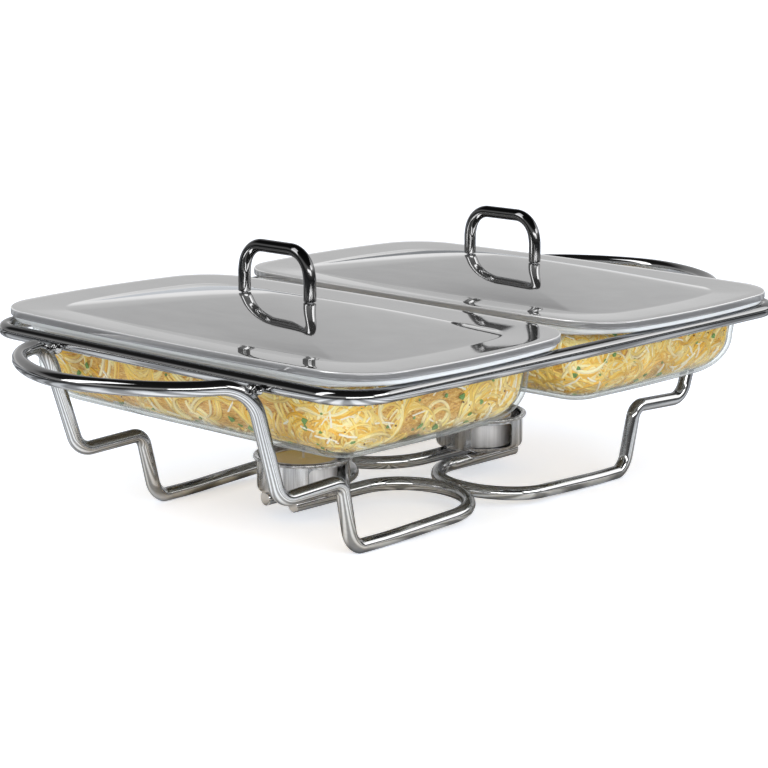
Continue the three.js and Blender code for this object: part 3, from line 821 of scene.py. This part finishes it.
def build_candle(side, sign):
    x = sign * BURNER_X
    body = f"{side}_candle"
    case_low, case_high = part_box(f"{side}_candle_case")
    radius = (case_high.y - case_low.y) / 2
    foil = 0.4 * MM
    floor, rim = case_low.z, case_high.z
    curl = rolled_lip(radius, rim, 0.45 * MM, -80, 170, 10)
    outer = soften([(0, floor), (radius - 0.3 * MM, floor), (radius - 0.3 * MM, rim - MM)], MM, 6)
    inner_radius = radius - 0.3 * MM - foil
    inside = soften([(inner_radius, rim - 0.8 * MM), (inner_radius, floor + foil), (0, floor + foil)], MM, 6)
    profile = outer + curl + inside
    add_piece(f"{side}_candle_case", lathe(profile, x, 0), body, FOIL, "candle_foil")

    wax_low, wax_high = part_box(f"{side}_candle_wax")
    wax_radius = (wax_high.y - wax_low.y) / 2
    bore = 0.95 * MM
    surface = wax_high.z - 0.4 * MM
    profile = soften([(bore, wax_low.z), (wax_radius, wax_low.z), (wax_radius, wax_high.z),
                      (wax_radius - 1.2 * MM, surface), (3 * MM, surface - 0.25 * MM),
                      (bore + 0.4 * MM, surface + 0.2 * MM), (bore, surface)], 0.5 * MM, 4)
    add_piece(f"{side}_candle_wax", lathe(profile, x, 0, closed=True), body, WAX, "wax")

    base_low, base_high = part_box(f"{side}_wick_base")
    base_radius = (base_high.y - base_low.y) / 2
    profile = soften([(0, base_low.z), (base_radius, base_low.z), (base_radius, base_high.z),
                      (0, base_high.z)], 0.15 * MM, 3)
    add_piece(f"{side}_wick_base", lathe(profile, x, 0, 64), body, ZINC, "zinc_steel")

    wick_low, wick_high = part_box(f"{side}_candle_wick")
    height = wick_high.z - wick_low.z
    path = []
    for k in range(25):
        t = k / 24
        lean = 0.6 * MM * max(0, t - 0.7) ** 2 / 0.09
        path.append(Vector((x + lean, 0, wick_low.z + t * height)))
    wick = tube(path, 0.7 * MM, 16, chamfer=0.25 * MM)
    add_piece(f"{side}_candle_wick", wick, body, wick_material(wick_high.z), "cotton")


# ---- glass dishes

WALL_HALF_X = 79.6 * MM
WALL_HALF_Y = 127.8 * MM
WALL_CORNER = 25 * MM
WALL_CORNER_LEAST = 4 * MM
WALL_CORNER_SHRINK = 0.6
WALL_BOW = 1.2 * MM
WALL_TAPER = 2 * MM
CURVE_WIDTH = 27 * MM
CURVE_HEIGHT = 24.5 * MM
LID_PLAY = 1.6 * MM
RIM_HEIGHT = 6.1 * MM


def dish_wall(taper, inset, z):
    """The wall's outline, from taper 0 under the rim to taper 1 at the base."""
    lean = WALL_TAPER * taper + inset
    corner = max(WALL_CORNER - WALL_CORNER_SHRINK * lean, WALL_CORNER_LEAST)
    return (WALL_HALF_X - lean, WALL_HALF_Y - lean, corner, WALL_BOW, z)


def dish_rim(inset, z):
    return (LID_HALF_X - LID_PLAY - inset, LID_HALF_Y - LID_PLAY - inset,
            LID_CORNER - LID_PLAY - inset, LID_BOW, z)


def base_curve(base, thickness, steps=18):
    """Quarter ellipse from the flat floor to the upright wall, thickness inside the outer face."""
    rows = []
    for k in range(steps + 1):
        angle = math.pi / 2 * k / steps
        rows.append(dish_wall(1, thickness + (CURVE_WIDTH - thickness) * (1 - math.sin(angle)),
                              base + thickness + (CURVE_HEIGHT - thickness) * (1 - math.cos(angle))))
    return rows


def build_dish(side, sign):
    low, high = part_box(f"{side}_dish")
    base, rim_top = low.z, high.z
    rim_bottom = rim_top - RIM_HEIGHT
    outside = base_curve(base, 0)
    rim = soften([outside[-1], dish_wall(0, 0, rim_bottom - 4.8 * MM), dish_wall(0, -1.6 * MM, rim_bottom),
                  dish_rim(1.2 * MM, rim_bottom), dish_rim(0, rim_bottom + 1.6 * MM),
                  dish_rim(0, rim_top - 1.6 * MM), dish_rim(1.6 * MM, rim_top),
                  dish_rim(3.2 * MM, rim_top), dish_wall(0, 0, rim_top - 1.7 * MM),
                  dish_wall(0, DISH_GLASS, rim_top - 5.1 * MM),
                  dish_wall(0.1, SEEN_GLASS, rim_top - 12 * MM)], 1.6 * MM, 5)
    inside = base_curve(base, SEEN_GLASS)[::-1]
    sections = outside + rim[1:] + inside
    add_piece(f"{side}_dish", loft(sections, sign * DISH_X), f"{side}_dish", GLASS, "clear_glass", 50)


# ---- lids

def lid_outline(inset_x, inset_y, z, scale=1.0):
    """Scaled-down outlines get rounder corners, so that the dome has no ridges."""
    corner = LID_CORNER - 0.45 * inset_x + LID_DOME_ROUNDING * (1 - scale)
    return ((LID_HALF_X - inset_x) * scale, (LID_HALF_Y - inset_y) * scale,
            corner * scale, LID_BOW * scale, z)


def lid_edge(inset, z):
    return lid_outline(inset, inset, z)


def lid_skin(drop):
    """From the middle outwards: low dome, crease, slope up to the flat rim."""
    rows = []
    for k in range(1, 25):
        reach = k / 24
        z = LID_CREASE_Z + LID_DOME_RISE * (1 - reach ** LID_DOME_POWER) - drop
        rows.append(lid_outline(LID_CREASE_X, LID_CREASE_Y, z, reach))
    crease = soften([rows[-2], rows[-1], lid_edge(LID_RIM_WIDTH, LID_RIM_Z - drop)], 1.5 * MM, 5)
    return rows[:-2] + crease


def build_lid(side, sign):
    under = lid_skin(SHEET) + [lid_edge(1.5 * MM, LID_RIM_Z - SHEET)]
    lip_inside = [lid_edge(SHEET, LID_RIM_Z - 1.5 * MM), lid_edge(SHEET, LID_LIP_Z)]
    lip = soften([lid_edge(SHEET, LID_LIP_Z), lid_edge(0, LID_LIP_Z),
                  lid_edge(0, LID_RIM_Z), lid_edge(4 * MM, LID_RIM_Z)], 1.3 * MM, 6)[1:-1]
    over = lid_skin(0)[::-1]
    sections = under + lip_inside + lip + over
    blank = make_object(f"{side}_lid_fine", *loft(sections, sign * DISH_X), 60)
    for end in ("front", "back"):
        screw_low, screw_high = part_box(f"{side}_{end}_screw")
        y = (screw_low.y + screw_high.y) / 2
        below, above = LID_TOP_Z - 9 * MM, LID_TOP_Z + 6 * MM
        profile = [(0, below), (SCREW_HOLE_RADIUS, below), (SCREW_HOLE_RADIUS, above), (0, above)]
        cut_away(blank, make_object("drill", *lathe(profile, sign * DISH_X, y, 48)), 50)
    place(blank, f"{side}_lid", LID_STEEL, "polished_steel", f"{side}_lid")


def build_lid_handle(side, sign):
    low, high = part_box(f"{side}_lid_handle")
    radius = (high.x - low.x) / 2
    foot_y = high.y - radius
    top_y = foot_y - HANDLE_LEAN
    top_z = high.z - radius
    x = sign * DISH_X
    half = [(foot_y, low.z, 0), (foot_y, low.z + HANDLE_KNEE_HEIGHT, HANDLE_KNEE_BEND),
            (top_y, top_z, HANDLE_TOP_BEND)]
    corners = [(Vector((x, -y, z)), bend) for y, z, bend in half]
    corners += [(Vector((x, y, z)), bend) for y, z, bend in half[::-1]]
    handle = tube(arc_path(corners, 3), radius, 36, chamfer=0.3 * MM)
    add_piece(f"{side}_lid_handle", handle, f"{side}_lid", HANDLE_CHROME_PAINTED_DARK, "chrome_wire")


def build_fasteners(side, sign):
    """Washer and cross-head screw under the lid at each handle foot."""
    for end in ("front", "back"):
        low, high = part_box(f"{side}_{end}_washer")
        y = (low.y + high.y) / 2
        radius = (high.y - low.y) / 2
        bore = SCREW_HOLE_RADIUS
        profile = soften([(bore, low.z + 0.1 * MM), (bore + 0.1 * MM, low.z), (radius, low.z),
                          (radius, high.z), (bore, high.z), (bore, low.z + 0.1 * MM)], 0.2 * MM, 3)
        washer = lathe(profile[:-1], sign * DISH_X, y, 64, closed=True)
        add_piece(f"{side}_{end}_washer", washer, f"{side}_lid", ZINC, "zinc_steel")

        low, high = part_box(f"{side}_{end}_screw")
        head = (high.y - low.y) / 2
        head_top = low.z + 2.4 * MM
        dome = [(head * math.sin(a), head_top - 0.6 * MM - 1.8 * MM * math.cos(a))
                for a in np.linspace(0, math.pi / 2, 9)]
        shank = soften([(head, head_top - 0.6 * MM), (head, head_top), (1.9 * MM, head_top),
                        (1.9 * MM, high.z - 0.6 * MM), (1.3 * MM, high.z), (0, high.z)], 0.2 * MM, 3)
        profile = dome[:-1] + shank
        screw = make_object(f"{side}_{end}_screw_fine", *lathe(profile, sign * DISH_X, y, 64))
        for angle in (0, math.pi / 2):
            screw = cut_away(screw, cross_cutter(sign * DISH_X, y, low.z, angle), 30)
        place(screw, f"{side}_lid", ZINC, "zinc_steel", f"{side}_{end}_screw")


def cross_cutter(x, y, z, angle):
    """One arm of the cross recess: a blade that narrows as it goes in."""
    long_side, thick, depth = 2.1 * MM, 0.42 * MM, 1.3 * MM
    turn = Matrix.Rotation(angle, 3, "Z")
    vertices = []
    for height, share in ((-MM, 1.0), (depth, 0.45)):
        for sx, sy in ((-1, -1), (1, -1), (1, 1), (-1, 1)):
            offset = turn @ Vector((sx * long_side * share, sy * thick, height))
            vertices.append(Vector((x, y, z)) + offset)
    faces = [(3, 2, 1, 0), (4, 5, 6, 7)] + [(k, (k + 1) % 4, 4 + (k + 1) % 4, 4 + k) for k in range(4)]
    return make_object("cross_cutter", vertices, faces)


# ---- food

STRAND_RADIUS = 1.05 * MM
FOOD_CLEARANCE = 2.3 * MM
FOOD_TOP_Z = 101.7 * MM
FOOD_EDGE = 5 * MM
NESTS = 460
NEST_SPACING = 2.4 * MM
SHRED_COUNT = 300
HERB_COUNT = 300
CHEDDAR_COUNT = 60
PEPPER_COUNT = 260


class FoodSurface:
    """The lump of food as a sheet: rows run from the base's middle up the wall to the top's middle."""

    def __init__(self, side, sign):
        self.x = sign * DISH_X
        inset = SEEN_GLASS + FOOD_CLEARANCE
        curve = base_curve(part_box(f"{side}_dish")[0].z, inset, 8)
        start = curve[0]
        rows = [(start[0] - extra, start[1] - extra, start[2], start[3], start[4])
                for extra in (40 * MM, 24 * MM, 10 * MM)]
        rows += curve
        wall_low, wall_high = curve[-1][4], FOOD_TOP_Z - FOOD_EDGE
        rows += [dish_wall(1 - k / 4, inset, wall_low + (wall_high - wall_low) * k / 4) for k in range(1, 5)]
        rows += [dish_wall(0, inset + FOOD_EDGE * (1 - math.cos(a)),
                           FOOD_TOP_Z - FOOD_EDGE * (1 - math.sin(a)))
                 for a in (math.pi / 6, math.pi / 3, math.pi / 2)]
        rows += [dish_wall(0, inset + FOOD_EDGE + extra, FOOD_TOP_Z + rise)
                 for extra, rise in ((12 * MM, MM), (28 * MM, 2 * MM),
                                     (44 * MM, 2.5 * MM), (58 * MM, 2.5 * MM))]
        loops = [outline(r[0], r[1], max(r[2], 4 * MM), r[3], 12, 16) for r in rows]
        self.grid = np.array([[(self.x + p.x, p.y, row[4]) for p in loop] for loop, row in zip(loops, rows)])
        self.rows, self.columns = self.grid.shape[:2]
        span = np.linalg.norm(np.diff(self.grid, axis=0), axis=2).mean(axis=1)
        self.row_distance = np.concatenate([[0], np.cumsum(span)])
        self.height = self.row_distance[-1]

    def cell(self, t):
        i = int(np.searchsorted(self.row_distance, t, side="right")) - 1
        i = min(max(i, 0), self.rows - 2)
        return i, (t - self.row_distance[i]) / (self.row_distance[i + 1] - self.row_distance[i])

    def point(self, t, u):
        """Place, outward normal and circumference at distance t along the rows and share u around."""
        i, s = self.cell(t)
        c = (u % 1.0) * self.columns
        j, f = int(c) % self.columns, c - int(c)
        k = (j + 1) % self.columns
        low = self.grid[i, j] * (1 - f) + self.grid[i, k] * f
        high = self.grid[i + 1, j] * (1 - f) + self.grid[i + 1, k] * f
        spot = low * (1 - s) + high * s
        around = (self.grid[i, k] - self.grid[i, j]) * (1 - s)
        around = around + (self.grid[i + 1, k] - self.grid[i + 1, j]) * s
        up = high - low
        normal = np.cross(around, up)
        around_length = np.linalg.norm(around) * self.columns
        return spot, normal / np.linalg.norm(normal), around_length


def wander(surface, rng, t, u, heading, curl, length, step, lift):
    """Points of a strand that creeps over the food, bending as it goes."""
    points = []
    bend = curl
    for k in range(int(length / step) + 1):
        point, normal, around = surface.point(t, u)
        wave = math.sin(k * step / (11 * MM) + lift * 900)
        height = lift + 0.35 * MM * wave
        points.append(Vector(point + normal * height))
        heading += bend * step
        bend += rng.gauss(0, 9) * step * 10
        bend = max(-135, min(135, bend))
        u += math.cos(heading) * step / around
        t += math.sin(heading) * step
        if t < MM or t > surface.height - MM:
            heading = -heading
            t = max(MM, min(surface.height - MM, t))
    return points


def bundles(surface, rng, count, zone):
    """Nests of three to six strands that run side by side."""
    strands = []
    for _ in range(count):
        t = rng.uniform(*zone)
        u = rng.random()
        heading = rng.uniform(0, 2 * math.pi)
        curl = rng.choice((-1, 1)) * rng.uniform(25, 130)
        length = rng.uniform(35, 95) * MM
        seed = rng.random()
        for n in range(rng.randint(3, 6)):
            offset = (n - 2) * NEST_SPACING
            _, _, around = surface.point(t, u)
            own = random.Random(seed)
            start_t = t + math.cos(heading) * offset
            start_u = u - math.sin(heading) * offset / around
            lift = rng.uniform(-1.0, 0.6) * MM
            start_t = max(MM, min(surface.height - MM, start_t))
            strands.append(wander(surface, own, start_t, start_u, heading, curl, length, 2.4 * MM, lift))
    return strands


def strand_mesh(strands, radius, rng, sides=6):
    tubes, shades = [], []
    for points in strands:
        tubes.append(tube(points, radius * rng.uniform(0.7, 1.2), sides, chamfer=0.3 * radius))
        shades += [rng.random()] * len(tubes[-1][0])
    return *merge_parts(tubes), shades


def lump(rng, centre, size):
    """A small uneven crumb."""
    points, faces = unit_ball(2)
    stretch = Vector((rng.uniform(0.7, 1.2), rng.uniform(0.7, 1.2), rng.uniform(0.6, 1.0)))
    turn = Matrix.Rotation(rng.uniform(0, 6.3), 3, Vector((rng.random(), rng.random(), rng.random() + 0.1)))
    vertices = []
    for point in points:
        jitter = rng.uniform(0.88, 1.1)
        local = Vector((point.x * stretch.x, point.y * stretch.y, point.z * stretch.z)) * (size * jitter)
        vertices.append(Vector(centre) + turn @ local)
    return vertices, faces


def leaf(rng, centre, normal, size):
    """A chopped herb flake: a thin, slightly curled and ragged disc."""
    normal = Vector(normal)
    across = normal.orthogonal().normalized()
    ahead = normal.cross(across)
    count = 7
    spin = rng.uniform(0, 6.3)
    rim = []
    for k in range(count):
        angle = spin + 2 * math.pi * k / count
        reach = size * rng.uniform(0.6, 1.15)
        curl = normal * (rng.uniform(-0.2, 0.35) * size)
        point = Vector(centre) + across * (math.cos(angle) * reach)
        rim.append(point + ahead * (math.sin(angle) * reach) + curl)
    thickness = normal * 0.25 * MM
    vertices = [p - thickness for p in rim] + [p + thickness for p in rim]
    faces = [tuple(range(count - 1, -1, -1)), tuple(range(count, 2 * count))]
    faces += [(k, (k + 1) % count, count + (k + 1) % count, count + k) for k in range(count)]
    return vertices, faces


def scatter(surface, rng, count, zone, lift, make):
    parts = []
    for _ in range(count):
        point, normal, _ = surface.point(rng.uniform(*zone), rng.random())
        parts.append(make(point + normal * lift, normal))
    return merge_parts(parts)


def build_food(side, sign):
    rng = random.Random({"left": 41, "right": 77}[side])
    surface = FoodSurface(side, sign)
    visible_zone = (surface.row_distance[3], surface.height)
    # The filling sheet under the strands is partly sauce and partly painted shade for the gaps between them.
    filling = surface.grid.reshape(-1, 3), skin(surface.rows, surface.columns)
    add_food(side, "filling", filling, SAUCE_AND_GAP_SHADE)

    strands = bundles(surface, rng, NESTS, visible_zone)
    vertices, faces, shades = strand_mesh(strands, STRAND_RADIUS, rng)
    pasta = add_food(side, "pasta", (vertices, faces), PASTA)
    attribute = pasta.data.attributes.new("shade", "FLOAT", "POINT")
    attribute.data.foreach_set("value", np.array(shades, np.float32))

    shreds = [wander(surface, rng, rng.uniform(*visible_zone), rng.random(), rng.uniform(0, 6.3),
                     rng.uniform(-60, 60), rng.uniform(4, 11) * MM, 1.5 * MM, rng.uniform(0.9, 1.4) * MM)
              for _ in range(SHRED_COUNT)]
    vertices, faces, _ = strand_mesh(shreds, 0.55 * MM, rng, 5)
    add_food(side, "cheese", (vertices, faces), CHEESE)

    herb = scatter(surface, rng, HERB_COUNT, visible_zone, 1.4 * MM,
                   lambda p, n: leaf(rng, p, n, rng.uniform(0.7, 2.2) * MM))
    add_food(side, "herbs", herb, HERB)
    melted = scatter(surface, rng, CHEDDAR_COUNT, visible_zone, -0.9 * MM,
                     lambda p, n: lump(rng, p, rng.uniform(2.0, 2.9) * MM))
    add_food(side, "cheddar", melted, CHEDDAR)
    specks = scatter(surface, rng, PEPPER_COUNT, visible_zone, 1.5 * MM,
                     lambda p, n: lump(rng, p, rng.uniform(0.25, 0.6) * MM))
    add_food(side, "pepper", specks, PEPPER)


# ---- studio

def softbox(nodes, direction, forward, up, half_width, half_height, edge=0.04):
    """1 inside a soft-edged rectangle seen in the direction forward, 0 outside it."""
    forward = Vector(forward).normalized()
    side = forward.cross(Vector(up)).normalized()
    top = side.cross(forward)

    depth = nodes.math("MAXIMUM", nodes.dot(direction, forward), 0.001)
    masks = []
    for axis, half in ((side, half_width), (top, half_height)):
        reach = nodes.math("ABSOLUTE", nodes.math("DIVIDE", nodes.dot(direction, axis), depth))
        fade = nodes.math("DIVIDE", nodes.math("SUBTRACT", half + edge, reach), edge, clamp=True)
        masks.append(fade)
    in_front = nodes.math("GREATER_THAN", nodes.dot(direction, forward), 0.0)
    return nodes.math("MULTIPLY", nodes.math("MULTIPLY", masks[0], masks[1]), in_front)


def build_world():
    """White for the camera, soft white for diffuse light, and a dark studio with boxes in reflections."""
    world = bpy.data.worlds.new("studio")
    bpy.context.scene.world = world
    world.use_nodes = True
    nodes = Nodes(world.node_tree)
    direction = nodes.add("TexCoord").outputs["Generated"]
    height = nodes.add("SeparateXYZ", Vector=direction).outputs["Z"]
    ahead = nodes.dot(direction, VIEW_HEADING)
    beyond = nodes.ramp(height, [(0.0, 0.85), (0.08, 0.8), (0.16, 0.54), (0.3, 0.5),
                                 (0.52, 0.44), (0.68, 0.03), (1.0, 0.02)])
    behind = nodes.ramp(height, [(0.0, 0.05), (0.12, 0.1), (0.19, 0.34),
                                 (0.36, 0.34), (0.5, 0.03), (1.0, 0.02)])
    far_side = nodes.math("MULTIPLY", nodes.math("SUBTRACT", ahead, 0.5), 5.0, clamp=True)
    sky = nodes.mix(far_side, behind, beyond)
    boxes = [
        softbox(nodes, direction, direction_at(-150, 14), (0, 0, 1), 0.5, 0.05),
        softbox(nodes, direction, direction_at(160, 25), (0, 0, 1), 0.25, 0.1),
        softbox(nodes, direction, direction_at(-60, 40), (0, 0, 1), 0.12, 0.4),
    ]
    front = softbox(nodes, direction, direction_at(120, 25), (0, 0, 1), 0.32, 0.16, 0.12)
    total = nodes.math("MULTIPLY", front, 0.4)
    for box in boxes:
        total = nodes.math("ADD", total, box, clamp=True)
    mirrored = nodes.mix(total, sky, grey(4.0))
    path = nodes.add("LightPath")
    seen = nodes.mix(path.outputs["Is Glossy Ray"], grey(0.75), mirrored)
    seen = nodes.mix(path.outputs["Is Camera Ray"], seen, grey(1.0))
    background = nodes.add("Background", Color=seen, Strength=1.0)
    nodes.add("OutputWorld", Surface=background.outputs[0])


def area_light(name, location, target, size, power):
    data = bpy.data.lights.new(name, "AREA")
    data.shape = "SQUARE"
    data.size = size
    data.energy = power
    light = bpy.data.objects.new(name, data)
    bpy.context.scene.collection.objects.link(light)
    light.location = location
    light.rotation_mode = "QUATERNION"
    light.rotation_quaternion = (Vector(target) - Vector(location)).to_track_quat("-Z", "Y")
    light.visible_glossy = False
    return light


def build_lights():
    area_light("key", (-0.9, -0.6, 1.5), (0, 0, 0.05), 1.4, 14)
    area_light("fill", (-0.3, -1.6, 0.5), (0, 0, 0.06), 1.0, 8.5)
    area_light("side", (-1.6, 0.3, 0.5), (0, 0, 0.06), 1.0, 5)


def build_floor():
    size = 40.0
    vertices = [(-size, -size, 0), (size, -size, 0), (size, size, 0), (-size, size, 0)]
    floor = make_object("studio_floor", vertices, [(0, 1, 2, 3)])
    floor.data.materials.append(floor_material())


def build_camera():
    """A long lens a little above the rim, to the left of the front."""
    distance = 1.339
    azimuth = math.radians(VIEW_AZIMUTH)
    right = Vector((math.cos(azimuth), -math.sin(azimuth), 0))
    forward = direction_at(VIEW_AZIMUTH, -VIEW_ELEVATION)
    up = right.cross(forward)
    aim = Vector((0, 0, 0.0587)) - right * 0.0063 + up * 0.0039
    data = bpy.data.cameras.new("camera")
    data.lens = 108.6
    data.sensor_width = 36
    camera = bpy.data.objects.new("camera", data)
    bpy.context.scene.collection.objects.link(camera)
    camera.location = aim - forward * distance
    camera.rotation_euler = forward.to_track_quat("-Z", "Y").to_euler()
    bpy.context.scene.camera = camera
    bpy.context.scene.view_settings.view_transform = "Standard"


# ---- assembly

build_stand()
for side_name, side_sign in SIDES.items():
    build_candle(side_name, side_sign)
    build_dish(side_name, side_sign)
    build_lid(side_name, side_sign)
    build_lid_handle(side_name, side_sign)
    build_fasteners(side_name, side_sign)
    build_food(side_name, side_sign)
build_world()
build_lights()
build_floor()
build_camera()
